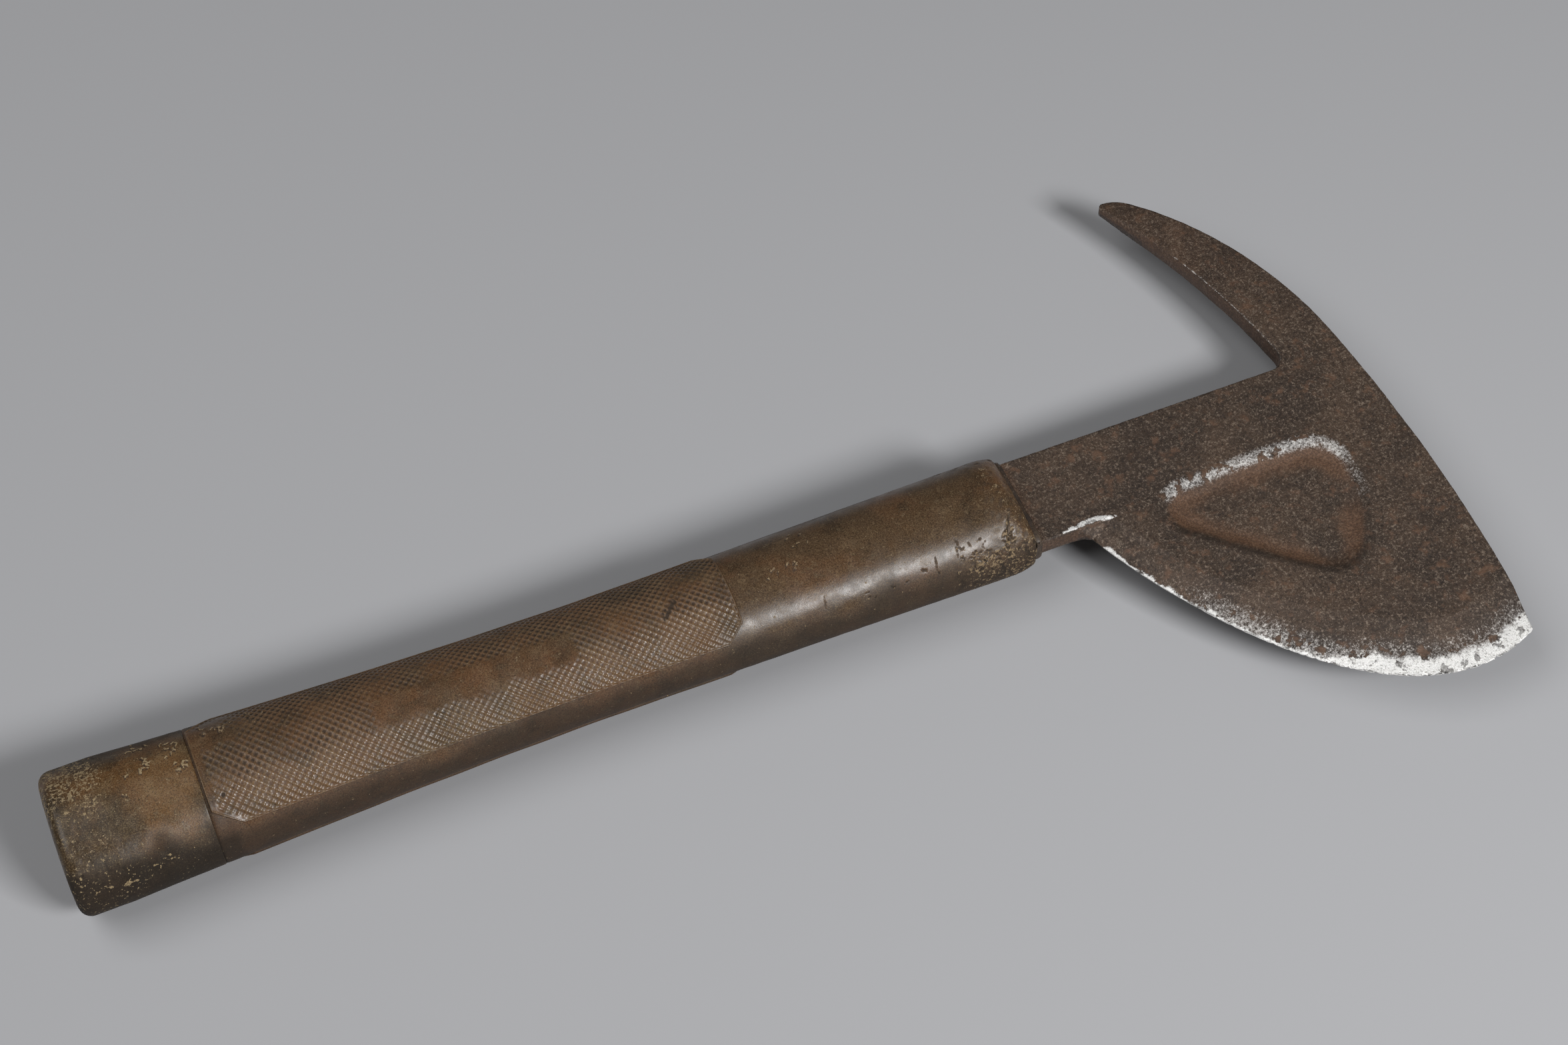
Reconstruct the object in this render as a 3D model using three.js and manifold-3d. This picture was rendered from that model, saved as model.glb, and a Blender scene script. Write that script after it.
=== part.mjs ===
// Aircrew escape axe: a steel head forged in one with its tang, set in an insulating rubber handle.
// Millimetres. X runs from the butt to the head, Y towards the pick, Z through the head's thickness.
// While it is built, the handle's axis is the X axis and the butt's end face is at X = 0.

import * as THREE from "three";
import { mergeVertices } from "three/addons/utils/BufferGeometryUtils.js";
import Module from "manifold-3d";

// The whole tool
const overall_length = 406;
const moulding_gap = 0.3;
const overrun = 3;

// Head, seen from above
const neck_width = 29.8;
const neck_start = 286;
const pick_reach = 94.2;
const pick_hook = 47.6;
const pick_root_inset = 22.8;
const pick_inner_bow = 3.4;
const pick_crotch_radius = 4.8;
const pick_tip_radius = 1.6;
const pick_tip_start_angle = 190;
const pick_beak_run = 9.2;
const pick_beak_drop = 5.2;
const pick_beak_knee_share = 0.55;
const pick_back_bow = 6;
const spine_top_height = 21;
const spine_top_setback = 4.6;
const spine_crown_drop = 45.6;
const toe_drop = 93.8;
const toe_setback = 2.4;
const toe_radius = 1.6;
const heel_setback = 105.4;
const heel_angle = 67;
const heel_radius = 5;
const heel_pull = 50;
const toe_angle = 25;
const toe_pull = 46.7;

// Head, through its thickness
const steel_thickness = 6.4;
const edge_break = 0.6;
const cutting_edge_thickness = 0.4;
const ground_width_heel = 1.5;
const ground_width_toe = 7.5;
const ground_slope_share = 0.09;
const ground_step = 0.3;
const blade_grind_heel = 8;
const blade_grind_toe = 18;
const blade_belly = 0.25;
const grind_full_share = 0.6;
const ground_start_share = 0.45;
const ground_full_share = 0.75;
const cheek_step_end_share = 0.22;
const cheek_step_height = 1.4;
const cheek_step_width = 1.6;
const cheek_step_lead = 8;
const plane_crossing = 0.05;
const pick_taper_start = 30;
const pick_taper_nose = 10;
const pick_nose_thickness = 5;
const pick_tip_thickness = 2.8;

// Dished pocket in each cheek: the rounds that it is drawn round, set from the spine and from the axis
const dish_depth = 1.7;
const dish_wall = 3.2;
const dish_heel_setback = 73;
const dish_heel_drop = 21.3;
const dish_heel_radius = 9;
const dish_toe_setback = 41.8;
const dish_toe_drop = 45;
const dish_toe_radius = 11.3;
const dish_side_setback = 36.6;
const dish_side_drop = 34;
const dish_side_radius = 12;
const dish_spine_setback = 34.5;
const dish_spine_drop = 23;
const dish_spine_radius = 11;
const dish_profile_shares = [
  { inset: 0, depth: 0 },
  { inset: 0.3, depth: 0.16 },
  { inset: 0.75, depth: 0.78 },
  { inset: 1, depth: 0.92 },
  { inset: 1.7, depth: 1 },
];

// Tang, with the holes that key the rubber to it
const tang_thickness = 4.6;
const tang_width_neck = 20;
const tang_width_butt = 14;
const tang_end = 34;
const tang_lap = 6;
const key_hole_radius = 4;
const key_hole_shares = [0.14, 0.46, 0.78];

// Handle outside: half widths across Y, and how its depth across Z follows them
const handle_end = 284.5;
const butt_half_width = 21.5;
const butt_straight = 15;
const waist_half_width = 17.1;
const waist_place = 152;
const shoulder_half_width = 18.4;
const depth_share = 0.82;
const butt_taper_power = 1.7;
const shoulder_taper_power = 1.2;
const shoulder_round = 7.5;
const shoulder_end_half_width = 16.4;
const shoulder_end_half_depth = 6.4;
const collar_squareness = 6;

// Butt cap
const seam_place = 40.3;
const butt_edge_radius = 3.6;

// Grip panels, raised on the two broad faces
const panel_rise = 0.6;
const panel_field_depth = 0.3;
const panel_lead = 0.7;
const panel_end = 195.1;
const panel_wall = 0.3;
const panel_border = 1.1;
const panel_half_angle = 58;
const panel_end_half_angle = 40;
const panel_chamfer_butt = 7.5;
const panel_chamfer_head = 5.2;
const tablet_start = 90;
const tablet_length = 58;
const tablet_half_width = 4.4;
const tablet_offset = 2.4;
const field_shares = [0.35, 0.7];
const strip_shares = [0.17, 0.33, 0.5, 0.67, 0.83];
const locator_radius = 0.9;
const locator_depth = 3;
const locator_lead = 4.8;
const locator_angle = 31;

// Insulating core, between the steel and the grip
const core_half_width = 12.6;
const core_half_depth = 9;
const core_end = 22;
const core_end_break = 1;
const core_taper_start = 268;
const core_taper_end = 280;
const core_throat_half_depth = 4.9;
const collar_half_width = 15.9;
const collar_half_depth = 5.6;
const collar_length = 1;
const collar_break = 0.9;
const collar_break_depth = 0.4;

const wasm = await Module();
wasm.setup();

const degrees = THREE.MathUtils.degToRad;
const lerp = THREE.MathUtils.lerp;
const point = (x, y) => new THREE.Vector2(x, y);

// Solids

function solidOf(geometry) {
  const bare = geometry.index ? geometry.clone() : geometry;
  for (const name of Object.keys(bare.attributes)) {
    if (name !== "position") bare.deleteAttribute(name);
  }
  const merged = mergeVertices(bare);
  return new wasm.Manifold(new wasm.Mesh({
    numProp: 3,
    vertProperties: new Float32Array(merged.attributes.position.array),
    triVerts: new Uint32Array(merged.index.array),
  }));
}

function geometryOf(solid) {
  const mesh = solid.getMesh();
  const geometry = new THREE.BufferGeometry();
  geometry.setAttribute("position", new THREE.BufferAttribute(mesh.vertProperties, mesh.numProp));
  geometry.setIndex(new THREE.BufferAttribute(mesh.triVerts, 1));
  geometry.computeVertexNormals();
  return geometry;
}

// A closed body skinned over rings of equal count, each ring a list of Vector3, its faces pointing out
function loft(rings) {
  const count = rings[0].length;
  const positions = rings.flat().flatMap((p) => p.toArray());
  const faces = [];
  for (let r = 0; r + 1 < rings.length; r += 1) {
    for (let i = 0; i < count; i += 1) {
      const a = r * count + i;
      const b = r * count + (i + 1) % count;
      faces.push(a, b, b + count, a, b + count, a + count);
    }
  }
  for (const [ring, turn] of [[0, 1], [rings.length - 1, -1]]) {
    const centre = positions.length / 3;
    const middle = rings[ring].reduce((sum, p) => sum.add(p), new THREE.Vector3());
    positions.push(...middle.divideScalar(count).toArray());
    for (let i = 0; i < count; i += 1) {
      const a = ring * count + i;
      const b = ring * count + (i + 1) % count;
      faces.push(...(turn > 0 ? [centre, b, a] : [centre, a, b]));
    }
  }
  const geometry = new THREE.BufferGeometry();
  geometry.setAttribute("position", new THREE.Float32BufferAttribute(positions, 3));
  geometry.setIndex(faces);
  const solid = solidOf(geometry);
  if (solid.volume() > 0) return solid;
  geometry.index.array.reverse();
  return solidOf(geometry);
}

function plate(outline, thickness, bevel) {
  const geometry = new THREE.ExtrudeGeometry(new THREE.Shape(outline), {
    depth: thickness - 2 * bevel,
    bevelEnabled: bevel > 0,
    bevelThickness: bevel,
    bevelSize: bevel,
    bevelOffset: -bevel,
    bevelSegments: 2,
  });
  geometry.translate(0, 0, bevel - thickness / 2);
  return solidOf(geometry);
}

const mirroredThrough = (solid) => solid.add(solid.mirror([0, 0, 1]));

// Outlines

// A line between two points that swells to its left by the bow
function bowedLine(from, to, bow, steps = 12) {
  const along = to.clone().sub(from);
  const left = point(-along.y, along.x).normalize();
  return Array.from({ length: steps + 1 }, (_, i) => {
    const t = i / steps;
    const swell = 4 * bow * t * (1 - t);
    return from.clone().addScaledVector(along, t).addScaledVector(left, swell);
  });
}

// The corner between two straight runs, rounded
function roundedCorner(from, corner, to, radius, steps = 5) {
  const back = from.clone().sub(corner).normalize();
  const on = to.clone().sub(corner).normalize();
  const half = Math.acos(THREE.MathUtils.clamp(back.dot(on), -1, 1)) / 2;
  const run = radius / Math.tan(half);
  const middle = back.clone().add(on).normalize();
  const centre = corner.clone().addScaledVector(middle, radius / Math.sin(half));
  const start = corner.clone().addScaledVector(back, run).sub(centre);
  const end = corner.clone().addScaledVector(on, run).sub(centre);
  const turn = Math.atan2(start.cross(end), start.dot(end));
  return Array.from({ length: steps + 1 }, (_, i) => {
    return start.clone().rotateAround(point(0, 0), turn * i / steps).add(centre);
  });
}

// A closed ring round circles that are given in order, each drawn in by the inset
function ringRound(circles, inset, steps = 8) {
  return circles.flatMap((circle, i) => {
    const before = circles[(i + circles.length - 1) % circles.length];
    const after = circles[(i + 1) % circles.length];
    const start = tangentAngle(before, circle);
    let end = tangentAngle(circle, after);
    if (end < start) end += 2 * Math.PI;
    return Array.from({ length: steps + 1 }, (_, k) => {
      const angle = lerp(start, end, k / steps);
      const radius = circle.radius - inset;
      return point(circle.x + radius * Math.cos(angle), circle.y + radius * Math.sin(angle));
    });
  });
}

function tangentAngle(one, other) {
  const run = point(other.x - one.x, other.y - one.y);
  return run.angle() - Math.acos((one.radius - other.radius) / run.length());
}

// Head

const pickRootInner = point(overall_length - pick_root_inset, neck_width / 2);
const pickTipCentre = point(overall_length - pick_hook + pick_tip_radius, pick_reach - pick_tip_radius);
const pickBeak = point(pickTipCentre.x + pick_beak_run, pick_reach - pick_beak_drop);
const spineTop = point(overall_length - spine_top_setback, spine_top_height);
const toe = point(overall_length - toe_setback, -toe_drop);
const heelCorner = point(overall_length - heel_setback, -neck_width / 2);

const heelDirection = point(1, 0).rotateAround(point(0, 0), -degrees(heel_angle));
const toeDirection = point(1, 0).rotateAround(point(0, 0), degrees(toe_angle));
const heel = heelCorner.clone().addScaledVector(heelDirection, heel_radius * Math.tan(degrees(heel_angle) / 2));

const cuttingEdge = new THREE.CubicBezierCurve(
  heel,
  heel.clone().addScaledVector(heelDirection, heel_pull),
  toe.clone().addScaledVector(toeDirection, -toe_pull),
  toe,
);

function pickTip() {
  const steps = 4;
  return Array.from({ length: steps + 1 }, (_, i) => {
    const angle = degrees(lerp(pick_tip_start_angle, 90, i / steps));
    return point(pick_tip_radius, 0).rotateAround(point(0, 0), angle).add(pickTipCentre);
  });
}

function pickBeakCurve() {
  const top = point(pickTipCentre.x, pick_reach);
  const knee = point(lerp(top.x, pickBeak.x, pick_beak_knee_share), pick_reach);
  return new THREE.QuadraticBezierCurve(top, knee, pickBeak).getPoints(6).slice(1);
}

// The spine bows forward from both its ends to a crown, which is the tool's furthest point
function spineLine() {
  const crown = point(overall_length, -spine_crown_drop);
  const steps = 9;
  const half = (end) => Array.from({ length: steps }, (_, i) => {
    const share = 1 - i / steps;
    return point(lerp(crown.x, end.x, share ** 2), lerp(crown.y, end.y, share));
  });
  return [...half(spineTop), crown, ...half(toe).reverse()];
}

function headOutline() {
  const tip = pickTip();
  const inner = bowedLine(pickRootInner, tip[0], -pick_inner_bow);
  const back = bowedLine(pickBeak, spineTop, pick_back_bow, 14);
  const spine = spineLine();
  const edge = cuttingEdge.getPoints(36).reverse();
  const neckTop = point(neck_start, neck_width / 2);
  const neckBottom = point(neck_start, -neck_width / 2);
  return [
    neckTop,
    ...roundedCorner(neckTop, pickRootInner, inner[2], pick_crotch_radius),
    ...inner.slice(2, -1),
    ...tip,
    ...pickBeakCurve(),
    ...back.slice(1, -1),
    ...spine.slice(0, -1),
    ...roundedCorner(spine.at(-2), toe, edge[1], toe_radius, 3),
    ...edge.slice(2, -1),
    ...roundedCorner(heel, heelCorner, neckBottom, heel_radius),
    neckBottom,
  ];
}

// One section of the blade's grind, from outside the cutting edge in to the flat of the cheek
function grindSection(outer, inner, groundWidth, stepHeight) {
  const run = inner.clone().sub(outer);
  const reach = run.length();
  const cheek = steel_thickness / 2;
  const edgeHalf = cutting_edge_thickness / 2;
  const groundHalf = edgeHalf + ground_step + ground_slope_share * groundWidth;
  const belowStep = cheek - stepHeight;
  const stepFoot = reach - cheek_step_width;
  const belly = (groundHalf + belowStep) / 2 + blade_belly;
  const profile = [
    [-overrun, edgeHalf],
    [0, edgeHalf],
    [groundWidth, groundHalf],
    [(groundWidth + stepFoot) / 2, belly],
    [stepFoot, belowStep],
    [reach, cheek + plane_crossing],
    [reach, cheek + overrun],
    [-overrun, cheek + overrun],
  ];
  return profile.map(([along, height]) => {
    const at = outer.clone().addScaledVector(run, along / reach);
    return new THREE.Vector3(at.x, at.y, height);
  });
}

function bladeGrind() {
  const steps = 24;
  const rise = THREE.MathUtils.smoothstep;
  const sections = [];
  const leadOuter = point(heelCorner.x - cheek_step_lead, heelCorner.y - overrun);
  const leadInner = point(leadOuter.x, heelCorner.y + plane_crossing);
  sections.push(grindSection(leadOuter, leadInner, 0, cheek_step_height));
  for (let i = 0; i <= steps; i += 1) {
    const t = i / steps;
    const along = cuttingEdge.getTangent(t);
    const outer = cuttingEdge.getPoint(t);
    const grind = lerp(blade_grind_heel, blade_grind_toe, rise(t, 0, grind_full_share));
    const inner = outer.clone().add(point(-along.y, along.x).multiplyScalar(grind));
    const ground = lerp(ground_width_heel, ground_width_toe, rise(t, ground_start_share, ground_full_share));
    const step = cheek_step_height * (1 - rise(t, 0, cheek_step_end_share));
    sections.push(grindSection(outer, inner, ground, step));
  }
  const past = toe.clone().addScaledVector(toeDirection, blade_grind_toe);
  const pastInner = past.clone().add(point(-toeDirection.y, toeDirection.x).multiplyScalar(blade_grind_toe));
  sections.push(grindSection(past, pastInner, ground_width_toe, 0));
  return mirroredThrough(loft(sections.reverse()));
}

// The pick thins towards its tip
function pickTaper() {
  const cheek = steel_thickness / 2;
  const nose = pick_reach - pick_taper_nose;
  const top = cheek + overrun;
  const profile = [
    point(pick_taper_start, cheek + plane_crossing),
    point(nose, pick_nose_thickness / 2),
    point(pick_reach, pick_tip_thickness / 2),
    point(pick_reach + overrun, pick_tip_thickness / 2),
    point(pick_reach + overrun, top),
    point(pick_taper_start, top),
  ];
  const width = pick_hook + 2 * overrun;
  const geometry = new THREE.ExtrudeGeometry(new THREE.Shape(profile), { depth: width, bevelEnabled: false });
  const upright = new THREE.Matrix4().makeBasis(
    new THREE.Vector3(0, 1, 0),
    new THREE.Vector3(0, 0, 1),
    new THREE.Vector3(1, 0, 0),
  );
  geometry.applyMatrix4(upright).translate(overall_length + overrun - width, 0, 0);
  return mirroredThrough(solidOf(geometry));
}

function dishes() {
  const corners = [
    [dish_heel_setback, dish_heel_drop, dish_heel_radius],
    [dish_toe_setback, dish_toe_drop, dish_toe_radius],
    [dish_side_setback, dish_side_drop, dish_side_radius],
    [dish_spine_setback, dish_spine_drop, dish_spine_radius],
  ].map(([setback, drop, radius]) => ({ x: overall_length - setback, y: -drop, radius }));
  const cheek = steel_thickness / 2;
  const ringAt = (inset, height) => ringRound(corners, inset).map((p) => new THREE.Vector3(p.x, p.y, height));
  const rings = dish_profile_shares.map(({ inset, depth }) => {
    return ringAt(inset * dish_wall, cheek - depth * dish_depth);
  });
  const above = ringAt(0, cheek + overrun);
  return mirroredThrough(loft([...rings.reverse(), above]));
}

// The tang's plan, widened all round by a margin where it is the slot in the core
function tangSolid(margin) {
  const neck = tang_width_neck / 2 + margin;
  const butt = tang_width_butt / 2 + margin;
  const end = tang_end - margin;
  const outline = [
    point(neck_start + tang_lap, -neck),
    point(neck_start + tang_lap, neck),
    point(end + butt / 2, butt),
    point(end, butt / 2),
    point(end, -butt / 2),
    point(end + butt / 2, -butt),
  ];
  return plate(outline, tang_thickness + 2 * margin, 0);
}

function keyPins(radius) {
  const pins = key_hole_shares.map((share) => {
    const place = lerp(tang_end, neck_start, share);
    const pin = new THREE.CylinderGeometry(radius, radius, steel_thickness + 2 * overrun, 24);
    pin.rotateX(Math.PI / 2).translate(place, 0, 0);
    return solidOf(pin);
  });
  return pins.reduce((all, pin) => all.add(pin));
}

function headForging() {
  return plate(headOutline(), steel_thickness, edge_break)
    .subtract(bladeGrind())
    .subtract(pickTaper())
    .subtract(dishes())
    .add(tangSolid(0).subtract(keyPins(key_hole_radius)));
}

// Handle

// Half the handle's width at a place along it: widest at the butt, drawn in at the waist
function halfWidth(place) {
  if (place >= waist_place) {
    const share = (place - waist_place) / (handle_end - shoulder_round - waist_place);
    return lerp(waist_half_width, shoulder_half_width, share ** shoulder_taper_power);
  }
  const share = Math.min(1, (waist_place - place) / (waist_place - butt_straight));
  return lerp(waist_half_width, butt_half_width, share ** butt_taper_power);
}

// An oval across the handle; a squareness of 2 is an ellipse, and more fills its corners out
function oval(place, width, depth, squareness = 2, steps = 40) {
  const filled = (value) => Math.sign(value) * Math.abs(value) ** (2 / squareness);
  return Array.from({ length: steps }, (_, i) => {
    const angle = 2 * Math.PI * i / steps;
    return new THREE.Vector3(place, width * filled(Math.sin(angle)), depth * filled(Math.cos(angle)));
  });
}

const coreStations = [
  { place: core_taper_start, width: core_half_width, depth: core_half_depth, squareness: 2 },
  { place: core_taper_end, width: core_half_width, depth: core_throat_half_depth, squareness: 3 },
];

// The core's body, grown all round by the gap where it is the bore of the pieces outside it
function coreBody(from, to, gap) {
  const [start, end] = coreStations;
  const stations = [{ ...start, place: from }, start, end, { ...end, place: to }];
  return stations.map((s) => oval(s.place, s.width + gap, s.depth + gap, s.squareness));
}

function handleCore() {
  const breakRing = oval(core_end, core_half_width - core_end_break, core_half_depth - core_end_break);
  const body = coreBody(core_end + core_end_break, handle_end + moulding_gap, 0);
  const collarStart = handle_end + moulding_gap;
  const collarEnd = collarStart + collar_length;
  const collar = [
    oval(collarStart, collar_half_width, collar_half_depth, collar_squareness),
    oval(collarEnd, collar_half_width, collar_half_depth, collar_squareness),
    oval(
      collarEnd + collar_break,
      collar_half_width - collar_break_depth / 2,
      collar_half_depth - collar_break_depth,
      collar_squareness,
    ),
  ];
  const slot = tangSolid(moulding_gap).subtract(keyPins(key_hole_radius - moulding_gap));
  const pocketOutline = [
    point(neck_start - moulding_gap, -neck_width / 2 - moulding_gap),
    point(collarEnd + overrun, -neck_width / 2 - moulding_gap),
    point(collarEnd + overrun, neck_width / 2 + moulding_gap),
    point(neck_start - moulding_gap, neck_width / 2 + moulding_gap),
  ];
  const pocket = plate(pocketOutline, steel_thickness + 2 * moulding_gap, 0);
  return loft([breakRing, ...body, ...collar]).subtract(slot).subtract(pocket);
}

// Where the raised panel's edge lies round the handle, drawn in at its chamfered ends
function panelAngle(place) {
  const fromButt = (place - seam_place - panel_lead) / panel_chamfer_butt;
  const fromHead = (panel_end - place) / panel_chamfer_head;
  const share = THREE.MathUtils.clamp(Math.min(fromButt, fromHead), 0, 1);
  return lerp(panel_end_half_angle, panel_half_angle, share);
}

// Points across one panel, from its blade side to its pick side: the angle from the panel's middle, and the rise
function panelColumns(place, zone) {
  const turnOf = (length) => THREE.MathUtils.radToDeg(length / halfWidth(place));
  const wall = turnOf(panel_wall);
  const edge = panelAngle(place);
  const inner = edge - turnOf(panel_border);
  const near = -turnOf(tablet_half_width + tablet_offset);
  const far = turnOf(tablet_half_width - tablet_offset);
  const border = zone === "plain" ? 0 : panel_rise;
  const field = zone === "field" || zone === "tablet" ? panel_rise - panel_field_depth : border;
  const tablet = zone === "tablet" ? panel_rise : field;
  return [
    [-edge - wall, 0],
    [-edge, border],
    [-inner, border],
    [-inner + wall, field],
    ...field_shares.map((share) => [lerp(-inner, near, share), field]),
    [near - wall, field],
    [near, tablet],
    [(near + far) / 2, tablet],
    [far, tablet],
    [far + wall, field],
    ...field_shares.map((share) => [lerp(far, inner, share), field]),
    [inner - wall, field],
    [inner, border],
    [edge, border],
    [edge + wall, 0],
  ];
}

// A section of the grip: a panel on each broad face, alike through the head's plane, and plain strips between
function gripSection(place, zone) {
  const width = halfWidth(place);
  const depth = depth_share * width;
  const panel = panelColumns(place, zone);
  const edge = panel.at(-1)[0];
  const strip = strip_shares.map((share) => [lerp(edge, 180 - edge, share), 0]);
  const under = panel.map(([angle, rise]) => [180 - angle, rise]).reverse();
  const farStrip = strip.map(([angle, rise]) => [angle + 180, rise]);
  return [...panel, ...strip, ...under, ...farStrip].map(([angle, rise]) => {
    const sine = Math.sin(degrees(angle));
    const cosine = Math.cos(degrees(angle));
    const outward = new THREE.Vector3(0, sine / width, cosine / depth).normalize();
    return new THREE.Vector3(place, width * sine, depth * cosine).addScaledVector(outward, rise);
  });
}

function gripSleeve() {
  const start = seam_place + moulding_gap;
  const panelStart = seam_place + panel_lead;
  const fieldStart = panelStart + panel_border;
  const fieldEnd = panel_end - panel_border;
  const tabletEnd = tablet_start + tablet_length;
  const between = (from, to, steps, zone) => Array.from({ length: steps }, (_, i) => {
    return [lerp(from, to, (i + 1) / (steps + 1)), zone];
  });
  const shoulderStart = handle_end - shoulder_round;
  const stations = [
    [start, "plain"],
    [panelStart - panel_wall, "plain"],
    [panelStart, "border"],
    [fieldStart, "border"],
    [fieldStart + panel_wall, "field"],
    [panelStart + panel_chamfer_butt, "field"],
    ...between(panelStart + panel_chamfer_butt, tablet_start, 3, "field"),
    [tablet_start - panel_wall, "field"],
    [tablet_start, "tablet"],
    ...between(tablet_start, tabletEnd, 3, "tablet"),
    [tabletEnd, "tablet"],
    [tabletEnd + panel_wall, "field"],
    ...between(tabletEnd, panel_end - panel_chamfer_head, 2, "field"),
    [panel_end - panel_chamfer_head, "field"],
    [fieldEnd - panel_wall, "field"],
    [fieldEnd, "border"],
    [panel_end, "border"],
    [panel_end + panel_wall, "plain"],
    ...between(panel_end, shoulderStart, 4, "plain"),
    [shoulderStart, "plain"],
  ];
  const body = stations.map(([place, zone]) => gripSection(place, zone));
  const outside = loft([...body, ...shoulderRings(body.at(-1))]);
  const bore = loft(coreBody(start - overrun, handle_end + overrun, moulding_gap));
  return outside.subtract(bore).subtract(locatorHole());
}

// The rounded shoulder closes from the grip's last section on to the squarer collar
function shoulderRings(last) {
  const steps = 6;
  return Array.from({ length: steps }, (_, i) => {
    const turn = Math.PI / 2 * (i + 1) / steps;
    const place = handle_end - shoulder_round * (1 - Math.sin(turn));
    const shut = 1 - Math.cos(turn);
    return last.map((p) => {
      const across = p.y / shoulder_half_width;
      const through = p.z / (shoulder_half_width * depth_share);
      const size = (Math.abs(across) ** collar_squareness + Math.abs(through) ** collar_squareness)
        ** (1 / collar_squareness);
      const y = lerp(p.y, shoulder_end_half_width * across / size, shut);
      const z = lerp(p.z, shoulder_end_half_depth * through / size, shut);
      return new THREE.Vector3(place, y, z);
    });
  });
}

// The pinhole that the mould's locating pin left in one panel
function locatorHole() {
  const place = seam_place + panel_lead + locator_lead;
  const width = halfWidth(place);
  const turn = degrees(locator_angle);
  const pin = new THREE.CylinderGeometry(locator_radius, locator_radius, 2 * locator_depth, 12);
  pin.rotateX(Math.PI / 2 + turn);
  pin.translate(place, -width * Math.sin(turn), depth_share * width * Math.cos(turn));
  return solidOf(pin);
}

function buttCap() {
  const steps = 5;
  const rim = Array.from({ length: steps }, (_, i) => {
    const turn = Math.PI / 2 * i / steps;
    const place = butt_edge_radius * (1 - Math.cos(turn));
    return { place, draw: butt_edge_radius * (1 - Math.sin(turn)) };
  });
  const barrel = [butt_edge_radius, butt_straight, (butt_straight + seam_place) / 2, seam_place];
  const stations = [...rim, ...barrel.map((place) => ({ place, draw: 0 }))];
  const outside = loft(stations.map(({ place, draw }) => {
    const width = halfWidth(place) - draw;
    const depth = depth_share * halfWidth(place) - draw;
    return oval(place, width, depth, 2, 48);
  }));
  const gap = moulding_gap;
  const socket = [core_end - gap, seam_place + overrun].map((place) => {
    return oval(place, core_half_width + gap, core_half_depth + gap);
  });
  return outside.subtract(loft(socket));
}

// Assembly

const forged_steel = new THREE.MeshStandardMaterial({ color: 0x4b3f37, roughness: 0.62, metalness: 0.75 });
const core_rubber = new THREE.MeshStandardMaterial({ color: 0x2e2620, roughness: 0.7, metalness: 0 });
const grip_rubber = new THREE.MeshStandardMaterial({ color: 0x5c452f, roughness: 0.5, metalness: 0 });
const butt_rubber = new THREE.MeshStandardMaterial({ color: 0x665038, roughness: 0.48, metalness: 0 });

function piece(name, solid, material) {
  const mesh = new THREE.Mesh(geometryOf(solid), material);
  mesh.name = name;
  return mesh;
}

const axe = new THREE.Group();
axe.add(
  piece("head_forging", headForging(), forged_steel),
  piece("handle_core", handleCore(), core_rubber),
  piece("grip_sleeve", gripSleeve(), grip_rubber),
  piece("butt_cap", buttCap(), butt_rubber),
);

// Laid on its side, centred over the origin
const bounds = new THREE.Box3().setFromObject(axe);
const middle = bounds.getCenter(new THREE.Vector3());
axe.position.set(-middle.x, -middle.y, -bounds.min.z);

export default axe;
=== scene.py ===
"""Hand axe with a pick: a patinated steel head and an aged rubber handle, fitted round the CAD frame."""

import math

import bmesh
import bpy
import numpy as np
from mathutils import Matrix, Vector


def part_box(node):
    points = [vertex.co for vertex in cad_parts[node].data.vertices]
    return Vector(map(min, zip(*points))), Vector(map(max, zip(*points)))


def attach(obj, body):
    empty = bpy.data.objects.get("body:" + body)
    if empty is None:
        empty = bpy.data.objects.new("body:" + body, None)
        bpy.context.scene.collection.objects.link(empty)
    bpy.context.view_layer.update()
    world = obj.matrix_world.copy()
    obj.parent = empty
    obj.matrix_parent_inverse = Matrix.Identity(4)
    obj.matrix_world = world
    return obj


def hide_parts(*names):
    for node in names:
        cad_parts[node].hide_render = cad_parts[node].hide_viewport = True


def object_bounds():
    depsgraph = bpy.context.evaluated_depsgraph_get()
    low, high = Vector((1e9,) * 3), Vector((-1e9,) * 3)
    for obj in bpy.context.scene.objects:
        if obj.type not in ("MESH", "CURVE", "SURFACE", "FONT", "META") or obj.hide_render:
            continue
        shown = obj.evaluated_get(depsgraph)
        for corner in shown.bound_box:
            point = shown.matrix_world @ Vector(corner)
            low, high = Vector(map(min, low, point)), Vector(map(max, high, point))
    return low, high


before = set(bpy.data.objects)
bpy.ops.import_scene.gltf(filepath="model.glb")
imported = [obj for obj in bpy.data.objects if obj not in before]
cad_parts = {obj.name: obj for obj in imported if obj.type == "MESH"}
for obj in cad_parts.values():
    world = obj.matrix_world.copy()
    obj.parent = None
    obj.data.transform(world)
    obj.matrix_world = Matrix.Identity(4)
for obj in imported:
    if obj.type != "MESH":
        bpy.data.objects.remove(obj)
cad_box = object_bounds()

MM = 0.001
SAME_POINT = 1e-6
SAME_LINE = 1e-7
SAME_PLANE = math.radians(0.3)

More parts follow.
